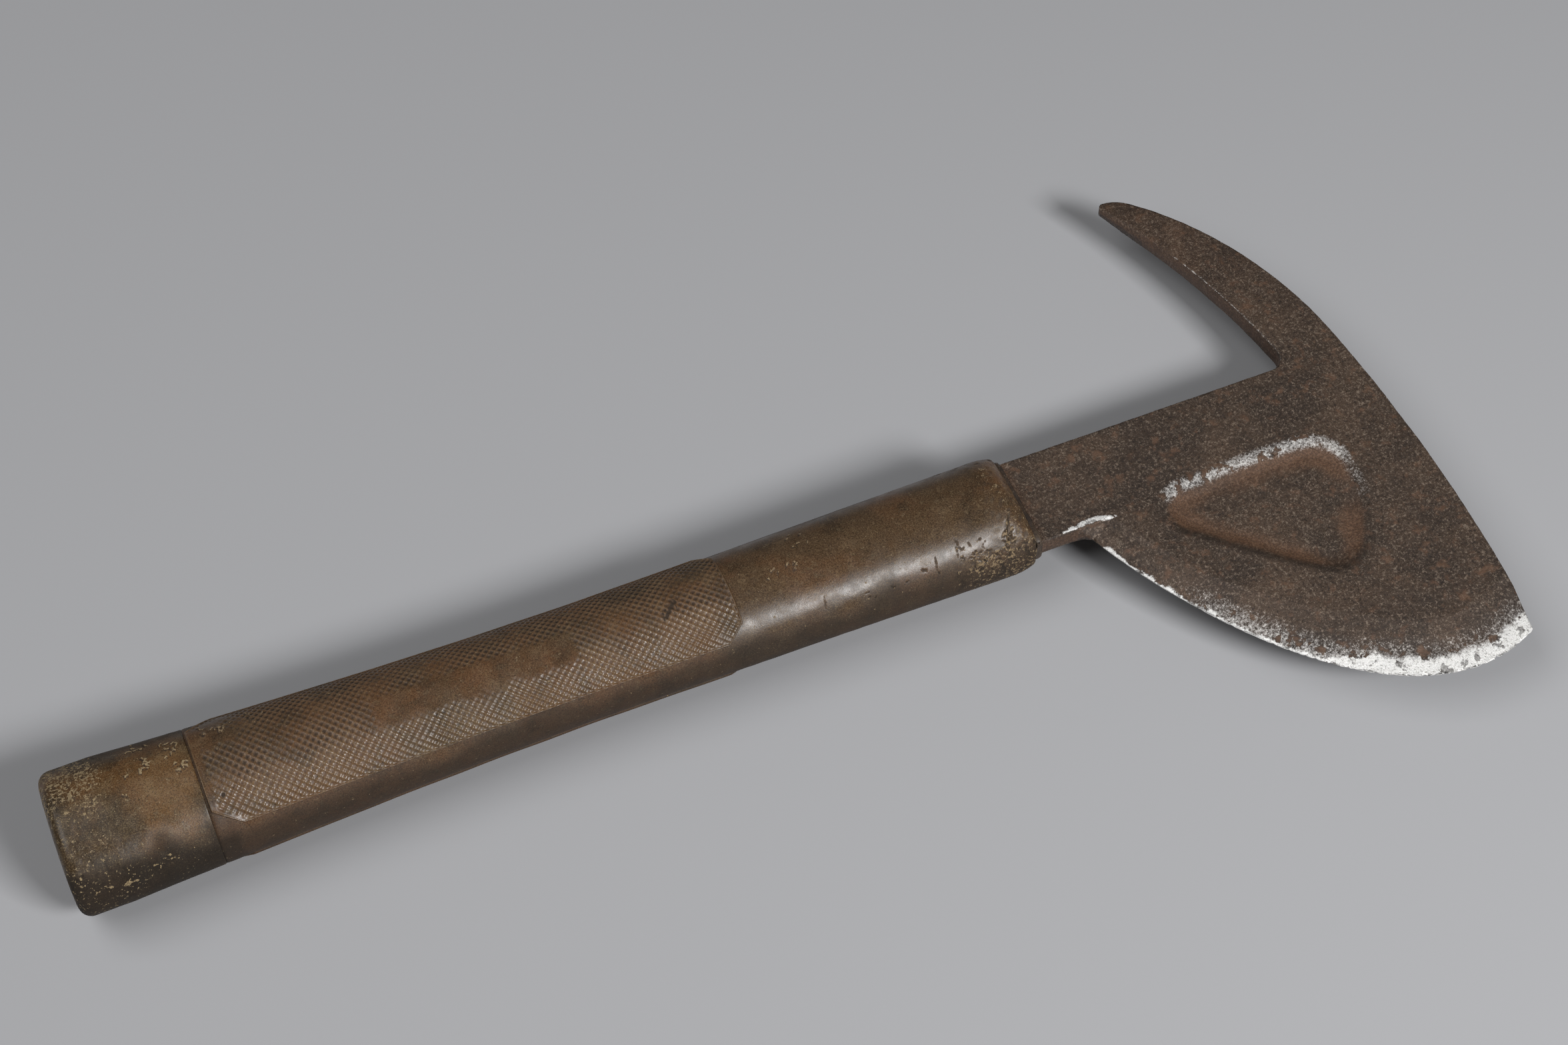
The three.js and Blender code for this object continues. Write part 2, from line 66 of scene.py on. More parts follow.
# Handle, as in the frame: places run from the butt's end, angles from the top towards the pick
butt_low, butt_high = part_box("butt_cap")
grip_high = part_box("grip_sleeve")[1]
head_low, head_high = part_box("head_forging")
BUTT_END = butt_low.x
AXIS_Y = (butt_low.y + butt_high.y) / 2
AXIS_Z = (butt_low.z + butt_high.z) / 2
SEAM = butt_high.x - BUTT_END
HANDLE_END = grip_high.x - BUTT_END
BUTT_HALF_WIDTH = (butt_high.y - butt_low.y) / 2
DEPTH_SHARE = (butt_high.z - butt_low.z) / (butt_high.y - butt_low.y)
BUTT_STRAIGHT = 15 * MM
BUTT_EDGE = 3.6 * MM
BUTT_TAPER_POWER = 1.7
WAIST_HALF_WIDTH = 17.1 * MM
WAIST_PLACE = 152 * MM
SHOULDER_HALF_WIDTH = 18.4 * MM
SHOULDER_TAPER_POWER = 1.2
SHOULDER_ROUND = 7.5 * MM
SHOULDER_END_HALF_WIDTH = 16.4 * MM
SHOULDER_END_HALF_DEPTH = 6.4 * MM
COLLAR_SQUARENESS = 6
GIRTH = 18.2 * MM

# Seam between butt and grip: the butt's lip laps the grip a little
LIP_LAP = 0.3 * MM
LIP_ROUND = 0.5 * MM
GRIP_TUCK = 0.25 * MM

# Grip panels
PANEL_START = SEAM + 0.7 * MM
PANEL_END = 195.1 * MM
PANEL_RISE = 0.6 * MM
PANEL_BEAD = 0.5 * MM
PANEL_LIP = 0.25 * MM
PANEL_RIDGE = 2.2 * MM
SKIRT_HEIGHT = 1.2 * MM
SKIRT_SUNK = 0.6 * MM
PANEL_EDGE = math.radians(58)
PANEL_END_EDGE = math.radians(40)
PANEL_CHAMFER_BUTT = 7.5 * MM
PANEL_CHAMFER_HEAD = 5.2 * MM
NET_PITCH = 1.69 * MM
NET_STEPS = 6
NET_DEPTH = 0.36 * MM
KNOB_RISE = 0.17 * MM
NET_FLOOR = 0.24 * MM
TABLET_START = 90 * MM
TABLET_END = 148 * MM
TABLET_HALF_WIDTH = 4.4 * MM
TABLET_OFFSET = 2.4 * MM

# The hole that the mould's locating pin left in the upper panel: its place in mm and angle in degrees.
# Its floor, like the net's, stays clear of the barrel below
PIN_HOLE = (45.5, -30)
PIN_RADIUS = 0.62 * MM
PIN_FLOOR = 0.3 * MM

# Grids: how far apart the rows along the handle lie, and how many faces go round it
BARREL_ROW = 1.0 * MM
SHOULDER_ROW = 0.42 * MM
GRIP_AROUND = 216
BUTT_AROUND = 288
BUTT_FACE_ROWS = 34
BUTT_EDGE_ROWS = 16
BUTT_BARREL_ROWS = 96
BUTT_LIP_ROWS = 5
MARKED_WITHIN = 1.1 * MM

# Head
CHEEK_HALF = (head_high.z - head_low.z) / 2
GRAIN = 1.2 * MM
GROUND_HEEL = 0.7 * MM
GROUND_TOE = 6.2 * MM
GROUND_LEAST = 0.25 * MM
DISH_DEPTH = 1.7 * MM
DISH_LIP = 1.6 * MM
DISH_WALL = 5.4 * MM
DISH_DIRECTIONS = 90
NECK_COVERED = 4 * MM

# Collar at the core's end
COLLAR_SHOWN = 6 * MM
COLLAR_GRAIN = 0.7 * MM

# The step at the cheek's heel, in plan, painted bright as worn bare steel and as a painted highlight
CHEEK_STEP = np.array([(90.5, -12.4), (96.6, -11.6), (102, -11.6), (108.5, -13.2)]) * MM
CHEEK_STEP_WEAR_AND_SHINE = 1.0 * MM

# The pick's inner edge, in plan: back from the spine and out from the axis, in mm
PICK_ROOT = (22.8, 14.9)
PICK_BACK = 47.6

# The dish's rounds: back from the spine, down from the axis, radius, in mm
DISH_ROUNDS = [(73, 21.3, 9), (41.8, 45, 11.3), (36.6, 34, 12), (34.5, 23, 11)]

# Chips and cracks scattered over patches of the rubber: the patch's middle and its half spread, each as
# (place in mm, angle in degrees), how many there are, then their length, half width and depth in mm,
# raised where it is negative, and tint, pale where it is negative
SHOULDER_CHIPS = [
    ((266, -45), (5.0, 6), 8, 2.6, 0.17, 0.16, 0.7),
    ((276.5, -48), (2.0, 10), 8, 3.2, 0.24, 0.28, 0.9),
    ((277, -46), (2.0, 7), 4, 1.6, 0.4, -0.1, -0.55),
    ((270, -62), (8.0, 9), 18, 2.2, 0.2, 0.14, 0.8),
    ((268, -60), (9.0, 9), 14, 1.8, 0.2, -0.08, -0.6),
    ((208, -4), (1.6, 6), 4, 1.1, 0.3, -0.1, -0.8),
    ((214.5, -5), (2.0, 6), 5, 1.5, 0.34, -0.12, -0.8),
    ((219.5, 26), (3.0, 9), 6, 1.2, 0.3, -0.09, -0.7),
    ((240, -56), (16.0, 6), 6, 1.2, 0.2, 0.12, 0.9),
]
BUTT_CHIPS = [
    ((27.5, 41), (2.5, 8), 6, 2.2, 0.26, -0.13, -0.9),
    ((28, 20), (1.6, 13), 6, 1.8, 0.3, -0.14, -1),
    ((36, 24), (2.6, 12), 8, 1.8, 0.28, -0.13, -0.9),
    ((37, 3), (2.0, 8), 5, 1.6, 0.28, -0.12, -0.9),
    ((22, 4), (2.0, 8), 3, 1.4, 0.26, -0.08, -0.6),
    ((12, -70), (6.0, 6), 9, 1.6, 0.26, -0.1, -0.8),
    ((24, -66), (5.0, 6), 7, 1.3, 0.24, -0.1, -0.8),
    ((5, -62), (2.0, 12), 6, 1.6, 0.24, 0.16, 0.8),
]
SEAM_CHIPS = [
    ((45.5, 33), (2.2, 6), 5, 1.8, 0.28, -0.13, -0.9),
    ((49.5, 24), (2.5, 7), 6, 2.0, 0.32, -0.13, -0.9),
    ((59, 38), (5.0, 6), 5, 1.6, 0.26, -0.1, -0.8),
]

# Where the offset edge beside a mark lies, along the handle and round it: a painted shadow beside raised
# flakes and a pale edge beside cracks
SHADOW_AND_EDGE_BESIDE = (0.3 * MM, 0.45 * MM)

# Single marks: their run as (place in mm, angle in degrees), then half width, depth and tint as above
SCRATCHES = [
    ([(219.5, -42), (219, -56)], 0.16, 0.1, 0.55),
    ([(253.8, -41), (253.2, -57)], 0.18, 0.12, 0.65),
    ([(260.6, -40), (260.2, -51)], 0.16, 0.1, 0.55),
    ([(249.4, -51), (250, -52)], 0.9, 0.2, 0.8),
]
STAINS = [
    ([(174.5, -13), (177, -5.5), (179.5, 2)], 1.0, 0, 1),
]

# Camera: where it looks, on the head's plane, and from where
VIEW_AT = Vector((0.01859, 0.02416, AXIS_Z))
VIEW_TURN = math.radians(67.315)
VIEW_DROP = math.radians(56)
VIEW_DISTANCE = 0.8241
LENS = 65.0
SENSOR = 36

# Studio: lamps as (place, size, power), and the floor
KEY_LAMP = ((0.5, -1.07, 1.02), (0.46, 0.36), 24)
OVERHEAD_LAMP = ((-0.8, 0.15, 1.35), (1.2, 1.0), 12)
WORLD_COLOR = (1, 0.99, 0.97, 1)
WORLD_STRENGTH = 0.08
FLOOR_HALF = 3
FLOOR_GAP = 0.2 * MM
FLOOR_COLOR = (0.355, 0.357, 0.37)

# Finishes, as linear colours
RUBBER_BASE = {"grip": (0.066, 0.039, 0.02), "butt": (0.044, 0.027, 0.012), "core": (0.04, 0.028, 0.02)}
RUBBER_WARM = {"grip": (0.1, 0.048, 0.021), "butt": (0.108, 0.053, 0.019), "core": (0.055, 0.036, 0.024)}
RUBBER_DARK = {"grip": (0.014, 0.009, 0.005), "butt": (0.01, 0.006, 0.003), "core": (0.015, 0.01, 0.008)}
RUBBER_PALE = {"grip": (0.225, 0.16, 0.09), "butt": (0.27, 0.2, 0.11), "core": (0.2, 0.15, 0.1)}
STEEL_DARK = (0.04, 0.026, 0.018)
STEEL_BROWN = (0.073, 0.046, 0.03)
STEEL_SPECK = (0.27, 0.21, 0.16)
STEEL_PIT = (0.014, 0.01, 0.008)
STEEL_BLOTCH = (0.15, 0.08, 0.047)
STEEL_SHADE = (0.018, 0.013, 0.01)
GROUND_PIT = (0.016, 0.012, 0.01)
GROUND_DULL = (0.5, 0.485, 0.46)
GROUND_BRIGHT = (0.88, 0.87, 0.85)
RUST_DARK = (0.085, 0.044, 0.025)
RUST_PALE = (0.15, 0.08, 0.045)


# Values along and across a surface

def smooth(low, high, values):
    share = np.clip((values - low) / (high - low), 0, 1)
    return share * share * (3 - 2 * share)


def drift(points, size, seed=1, waves=9):
    """Smooth unevenness from about -1 to 1, with swells about as wide as the size."""
    chance = np.random.default_rng(seed)
    total = np.zeros(len(points))
    for _ in range(waves):
        way = chance.normal(size=points.shape[1])
        way *= chance.uniform(0.7, 1.4) * math.pi / size / np.linalg.norm(way)
        total += np.sin(points @ way + chance.uniform(0, 2 * math.pi))
    return total / math.sqrt(waves)


def along_line(points, line):
    """For each point, its distance to a line of points, the way along it and the nearest place on it."""
    best = np.full(len(points), 1e9)
    along = np.zeros(len(points))
    nearest = np.zeros((len(points), 2))
    run = 0.0
    for start, end in zip(line[:-1], line[1:]):
        step = end - start
        length = np.hypot(*step)
        share = np.clip((points - start) @ step / length**2, 0, 1)
        at = start + share[:, None] * step
        away = np.hypot(*(points - at).T)
        closer = away < best
        best[closer] = away[closer]
        along[closer] = run + share[closer] * length
        nearest[closer] = at[closer]
        run += length
    return best, along, nearest


# Handle's form

def half_width(place):
    beyond = np.clip((place - WAIST_PLACE) / (HANDLE_END - SHOULDER_ROUND - WAIST_PLACE), 0, None)
    before = np.clip((WAIST_PLACE - place) / (WAIST_PLACE - BUTT_STRAIGHT), 0, 1)
    width = WAIST_HALF_WIDTH + (SHOULDER_HALF_WIDTH - WAIST_HALF_WIDTH) * beyond**SHOULDER_TAPER_POWER
    return width + (BUTT_HALF_WIDTH - WAIST_HALF_WIDTH) * before**BUTT_TAPER_POWER


def on_handle(place, angle, rise):
    """Points at places along the handle and angles round it, lifted off its surface by the rise."""
    width = half_width(place)
    depth = DEPTH_SHARE * width
    sine, cosine = np.sin(angle), np.cos(angle)
    outward = np.stack([0 * width, sine / width, cosine / depth], -1)
    outward /= np.linalg.norm(outward, axis=-1, keepdims=True)
    surface = np.stack([BUTT_END + place, AXIS_Y + width * sine, AXIS_Z + depth * cosine], -1)
    return surface + outward * rise[..., None]


def unrolled(points):
    """The place along the handle and the angle times the girth, for points on or near its surface."""
    angle = np.arctan2(points[:, 1] - AXIS_Y, (points[:, 2] - AXIS_Z) / DEPTH_SHARE)
    return np.stack([points[:, 0] - BUTT_END, angle * GIRTH], -1)


def drawn(runs):
    """Marks as lines on the unrolled surface, from runs in mm and degrees."""
    marks = []
    for run, width, depth, shade in runs:
        line = np.array([(place * MM, math.radians(angle) * GIRTH) for place, angle in run])
        marks.append((line, width * MM, depth * MM, shade))
    return marks


def scattered(patches, seed):
    """Short crooked marks that lie as they fell over patches of the surface."""
    chance = np.random.default_rng(seed)
    marks = []
    for middle, spread, count, length, width, depth, shade in patches:
        for _ in range(count):
            place, angle = np.array(middle) + np.array(spread) * chance.uniform(-1, 1, 2)
            line = [np.array((place * MM, math.radians(angle) * GIRTH))]
            heading = chance.uniform(0, 2 * math.pi)
            for _ in range(3):
                heading += chance.normal(0, 0.9)
                step = length * MM / 3 * chance.uniform(0.5, 1.5)
                line.append(line[-1] + step * np.array((math.cos(heading), math.sin(heading))))
            marks.append((np.array(line), width * MM * chance.uniform(0.7, 1.4), depth * MM, shade))
    return marks


def worn_by(flats, marks):
    """How deep the marks go, and how dark and how pale they leave the rubber, at each unrolled place, with
    a painted shadow offset beside each raised flake.
    """
    deep = np.zeros(len(flats))
    dark = np.zeros(len(flats))
    pale = np.zeros(len(flats))
    ragged = 0.6 * drift(flats, 0.7 * MM, 4)
    for line, width, depth, shade in marks:
        away, along, _ = along_line(flats, line)
        taper = 0.4 + 0.6 * np.sin(math.pi * along / along.max())
        share = 1 - smooth(0.4, 1.4, away / (width * taper) + ragged)
        deep += depth * share
        beside = along_line(flats + SHADOW_AND_EDGE_BESIDE, line)[0]
        lip = (1 - smooth(0.4, 1.6, beside / (width * taper) + ragged)) * (1 - share)
        if shade > 0:
            dark = np.maximum(dark, share * shade)
            pale = np.maximum(pale, 0.2 * lip * (shade < 1))
        else:
            pale = np.maximum(pale, -0.45 * share * shade)
            # The dark lip beside a raised flake is a painted shadow
            dark = np.maximum(dark, 0.9 * lip)
    return deep, dark, pale


# Meshes

def mesh_of(bm, name):
    mesh = bpy.data.meshes.new(name)
    bm.to_mesh(mesh)
    bm.free()
    return mesh


def read(mesh, field="co"):
    values = np.empty(len(mesh.vertices) * 3)
    source = mesh.vertices if field == "co" else mesh.vertex_normals
    source.foreach_get("co" if field == "co" else "vector", values)
    return values.reshape(-1, 3)


def reshape(mesh, points):
    mesh.vertices.foreach_set("co", points.ravel())
    mesh.update()


def tint(mesh, **shares):
    for name, values in shares.items():
        mesh.attributes.new(name, "FLOAT", "POINT").data.foreach_set("value", np.clip(values, 0, 1))


def finish_piece(mesh, material, replaced):
    mesh.materials.append(material)
    mesh.shade_smooth()
    piece = bpy.data.objects.new(mesh.name, mesh)
    bpy.context.scene.collection.objects.link(piece)
    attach(piece, "root")
    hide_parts(replaced)


def all_of(bm):
    return bm.verts[:] + bm.edges[:] + bm.faces[:]


def cut(bm, point, normal, clear=False):
    bmesh.ops.bisect_plane(
        bm, geom=all_of(bm), dist=SAME_LINE, plane_co=point, plane_no=normal, clear_outer=clear)


def cut_faces(bm, faces, axis, place):
    """The faces are cut across one axis at the place."""
    at = Vector((0, 0, 0))
    normal = Vector((0, 0, 0))
    at[axis] = place
    normal[axis] = 1
    edges = {e for f in faces for e in f.edges}
    verts = {v for f in faces for v in f.verts}
    bmesh.ops.bisect_plane(bm, geom=[*faces, *edges, *verts], dist=SAME_LINE, plane_co=at, plane_no=normal)


def joined_copy(node):
    """A CAD node's mesh with its loose triangles joined and its flat faces made whole."""
    bm = bmesh.new()
    bm.from_mesh(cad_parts[node].data)
    bmesh.ops.remove_doubles(bm, verts=bm.verts, dist=SAME_POINT)
    bmesh.ops.dissolve_limit(bm, angle_limit=SAME_PLANE, verts=bm.verts, edges=bm.edges)
    return bm


# Materials

class Shader:
    """A node material that is put together from left to right."""

    def __init__(self, name):
        self.material = bpy.data.materials.new(name)
        self.material.use_nodes = True
        self.tree = self.material.node_tree
        self.surface = self.tree.nodes["Principled BSDF"]
        self.place = self.tree.nodes.new("ShaderNodeTexCoord").outputs["Object"]

    def put(self, socket, value):
        if isinstance(value, bpy.types.NodeSocket):
            self.tree.links.new(value, socket)
        elif isinstance(value, tuple) and len(value) == 3 and socket.type == "RGBA":
            socket.default_value = (*value, 1)
        else:
            socket.default_value = value

    def add(self, kind, settings=None, **inputs):
        node = self.tree.nodes.new(kind)
        for key, value in (settings or {}).items():
            setattr(node, key, value)
        for key, value in inputs.items():
            self.put(node.inputs[int(key[1:]) if key[0] == "_" else key], value)
        return node

    def noise(self, scale, detail, roughness, distortion=0.0):
        inputs = dict(Vector=self.place, Scale=scale, Detail=detail, Roughness=roughness)
        return self.add("ShaderNodeTexNoise", Distortion=distortion, **inputs).outputs["Fac"]

    def times(self, a, b):
        return self.add("ShaderNodeMath", {"operation": "MULTIPLY"}, _0=a, _1=b).outputs[0]

    def plus(self, a, b):
        return self.add("ShaderNodeMath", {"operation": "ADD"}, _0=a, _1=b).outputs[0]

    def step(self, value, low, high, to_low=0.0, to_high=1.0):
        settings = {"interpolation_type": "SMOOTHSTEP"}
        inputs = {"Value": value, "From Min": low, "From Max": high, "To Min": to_low, "To Max": to_high}
        return self.add("ShaderNodeMapRange", settings, **inputs).outputs[0]

    def mix(self, share, a, b):
        node = self.add("ShaderNodeMix", {"data_type": "RGBA"})
        self.put(node.inputs[0], share)
        self.put(node.inputs[6], a)
        self.put(node.inputs[7], b)
        return node.outputs[2]

    def attribute(self, name):
        return self.add("ShaderNodeAttribute", {"attribute_name": name}).outputs["Fac"]

    def bump(self, height, distance, normal=None):
        node = self.add("ShaderNodeBump", Height=height, Distance=distance, Strength=1.0)
        if normal:
            self.put(node.inputs["Normal"], normal)
        return node.outputs[0]

    def finish(self, **inputs):
        for key, value in inputs.items():
            self.put(self.surface.inputs[key.replace("_", " ")], value)
        return self.material


def rubber(part):
    """Aged rubber, by the attributes for warmth, darkening, wear and paleness that each piece carries. The
    darkening also holds painted shade, and the wear also a painted highlight.
    """
    base, warm, dark, pale = RUBBER_BASE[part], RUBBER_WARM[part], RUBBER_DARK[part], RUBBER_PALE[part]
    s = Shader(part + "_rubber")
    broad = s.noise(42, 5, 0.62, 0.4)
    mottle = s.noise(130, 5, 0.7)
    fine = s.noise(520, 5, 0.75)
    flake = s.noise(1150, 3, 0.62)
    grain = s.noise(2600, 3, 0.7)
    color = s.mix(s.step(s.plus(broad, s.times(s.attribute("warm"), 0.3)), 0.42, 0.72), base, warm)
    color = s.mix(s.times(s.step(mottle, 0.5, 0.64), 0.45), color, dark)
    color = s.mix(s.times(s.step(mottle, 0.32, 0.46, 1.0, 0.0), 0.2), color, pale)
    color = s.mix(s.times(s.step(fine, 0.52, 0.66), 0.24), color, pale)
    color = s.mix(s.times(s.step(grain, 0.53, 0.64), 0.27), color, pale)
    color = s.mix(s.times(s.step(grain, 0.38, 0.48, 1.0, 0.0), 0.65), color, dark)
    # Wear pales the rubber; on the panels' ridges towards the lower side it also stands as a painted
    # highlight
    color = s.mix(s.times(s.attribute("worn"), 0.3), color, pale)
    # The darkening holds cracks and grime, and also painted shade: on the flanks, in the net's hollows, in
    # the pin hole, beside raised flakes and along the butt's sides
    color = s.mix(s.times(s.attribute("dark"), 0.85), color, dark)
    speck = s.plus(s.times(flake, 0.55), s.plus(s.times(fine, 0.25), s.times(grain, 0.2)))
    scuffed = s.step(s.plus(s.times(s.attribute("pale"), 0.5), speck), 0.6, 0.66)
    color = s.mix(s.times(scuffed, s.step(grain, 0.35, 0.6, 0.55, 1.0)), color, pale)
    roughness = s.plus(s.step(s.noise(210, 5, 0.7), 0.35, 0.65, 0.3, 0.42), s.times(scuffed, 0.25))
    handled = s.plus(s.times(s.attribute("dark"), 0.5), s.times(s.attribute("worn"), -0.08))
    roughness = s.plus(roughness, handled)
    height = s.plus(s.plus(s.times(fine, 0.7), s.times(grain, 0.35)), s.times(scuffed, 0.5))
    normal = s.bump(height, 0.06 * MM)
    return s.finish(Base_Color=color, Roughness=roughness, Normal=normal, IOR=1.5, Specular_IOR_Level=0.4)


def patinated_steel():
    """Brown steel, by the attributes for rust, darkening and bare steel that the head carries. The
    darkening is painted shade, and the bare steel also holds painted highlights.
    """
    s = Shader("patinated_steel")
    broad = s.noise(45, 5, 0.65, 0.4)
    blotch = s.noise(260, 4, 0.62)
    spots = s.noise(760, 3, 0.6)
    fine = s.noise(1500, 3, 0.7)
    grain = s.noise(3200, 3, 0.75)
    speck = s.plus(s.times(spots, 0.25), s.plus(s.times(fine, 0.4), s.times(grain, 0.35)))
    color = s.mix(s.step(broad, 0.36, 0.66), STEEL_DARK, STEEL_BROWN)
    color = s.mix(s.times(s.step(speck, 0.51, 0.61), 0.7), color, STEEL_SPECK)
    color = s.mix(s.times(s.step(speck, 0.4, 0.48, 1.0, 0.0), 0.85), color, STEEL_PIT)
    color = s.mix(s.times(s.step(blotch, 0.54, 0.72), 0.6), color, STEEL_BLOTCH)
    rusty = s.step(s.plus(s.attribute("rust"), s.times(broad, 0.6)), 0.5, 1.3)
    rust = s.mix(s.step(fine, 0.42, 0.58), RUST_DARK, RUST_PALE)
    color = s.mix(s.times(rusty, 0.8), color, rust)
    # The head's darkening is painted shade on the near wall of each dish
    color = s.mix(s.times(s.attribute("dark"), 0.75), color, STEEL_SHADE)
    # Bare steel on the ground edge is worn metal; on the far rim of each dish and on the heel's step it is
    # also a painted highlight
    bare = s.attribute("bare")
    pitted = s.step(blotch, 0.56, 0.61)
    color = s.mix(s.times(s.times(pitted, s.step(bare, 0.5, 0.9)), 0.85), color, GROUND_PIT)
    amount = s.plus(s.step(bare, 0.0, 0.25, 0.0, 2.6), s.step(bare, 0.7, 1.0, 0.0, -1.3))
    unevenness = s.plus(s.times(s.plus(speck, -0.5), amount), s.times(pitted, -0.5))
    bright = s.step(s.plus(bare, unevenness), 0.2, 1.0)
    ground = s.mix(s.step(fine, 0.34, 0.48), GROUND_DULL, GROUND_BRIGHT)
    color = s.mix(bright, color, ground)
    metallic = s.step(bright, 0.0, 1.0, 0.2, 0.55)
    roughness = s.step(bright, 0.0, 1.0, 0.44, 0.36)
    normal = s.bump(s.plus(s.times(blotch, 0.25), s.times(spots, 0.6)), 0.2 * MM)
    normal = s.bump(grain, 0.2 * MM, normal)
    return s.finish(Base_Color=color, Metallic=metallic, Roughness=roughness, Normal=normal)


# Head

def cutting_edge_line(mesh):
    """The cutting edge in plan: the CAD head's points on its middle plane, in order from the heel."""
    middle = 0.3 * MM
    blade_top = AXIS_Y - float(half_width(np.array(HANDLE_END)))
    points = {
        (round(v.co.x, 6), round(v.co.y, 6))
        for v in mesh.vertices
        if abs(v.co.z - AXIS_Z) < middle and v.co.y < blade_top
    }
    return np.array(sorted(points))


def dish_inset(plan):
    """How far each point lies inside the outline round the dish's four rounds, and the way out of it."""
    rounds = [
        (np.array((head_high.x - back * MM, AXIS_Y - down * MM)), radius * MM)
        for back, down, radius in DISH_ROUNDS
    ]
    inset = np.full(len(plan), 1e9)
    way_out = np.zeros((len(plan), 2))
    for turn in np.linspace(0, 2 * math.pi, DISH_DIRECTIONS, endpoint=False):
        outward = np.array((math.cos(turn), math.sin(turn)))
        reach = max(centre @ outward + radius for centre, radius in rounds)
        closer = reach - plan @ outward < inset
        inset[closer] = (reach - plan @ outward)[closer]
        way_out[closer] = outward
    return inset, way_out


def sliced_head():
    """A copy of the CAD head whose faces are cut into a fine grid, so that wear can be worked into them."""
    bm = joined_copy("head_forging")
    neck = BUTT_END + HANDLE_END - NECK_COVERED
    for axis, low, high in ((0, neck, head_high.x), (1, head_low.y, head_high.y)):
        for i in range(1, int((high - low) / GRAIN) + 1):
            place = low + i * GRAIN
            spanning = [
                f for f in bm.faces
                if min(v.co[axis] for v in f.verts) < place < max(v.co[axis] for v in f.verts)
                and max(v.co.x for v in f.verts) > neck
            ]
            cut_faces(bm, spanning, axis, place)
    long_edges = [
        e for e in bm.edges
        if e.calc_length() > 0.6 * GRAIN and max(v.co.x for v in e.verts) > neck
    ]
    bmesh.ops.subdivide_edges(bm, edges=long_edges, cuts=1, use_grid_fill=True)
    bmesh.ops.triangulate(bm, faces=[f for f in bm.faces if len(f.verts) > 4])
    return mesh_of(bm, "head")


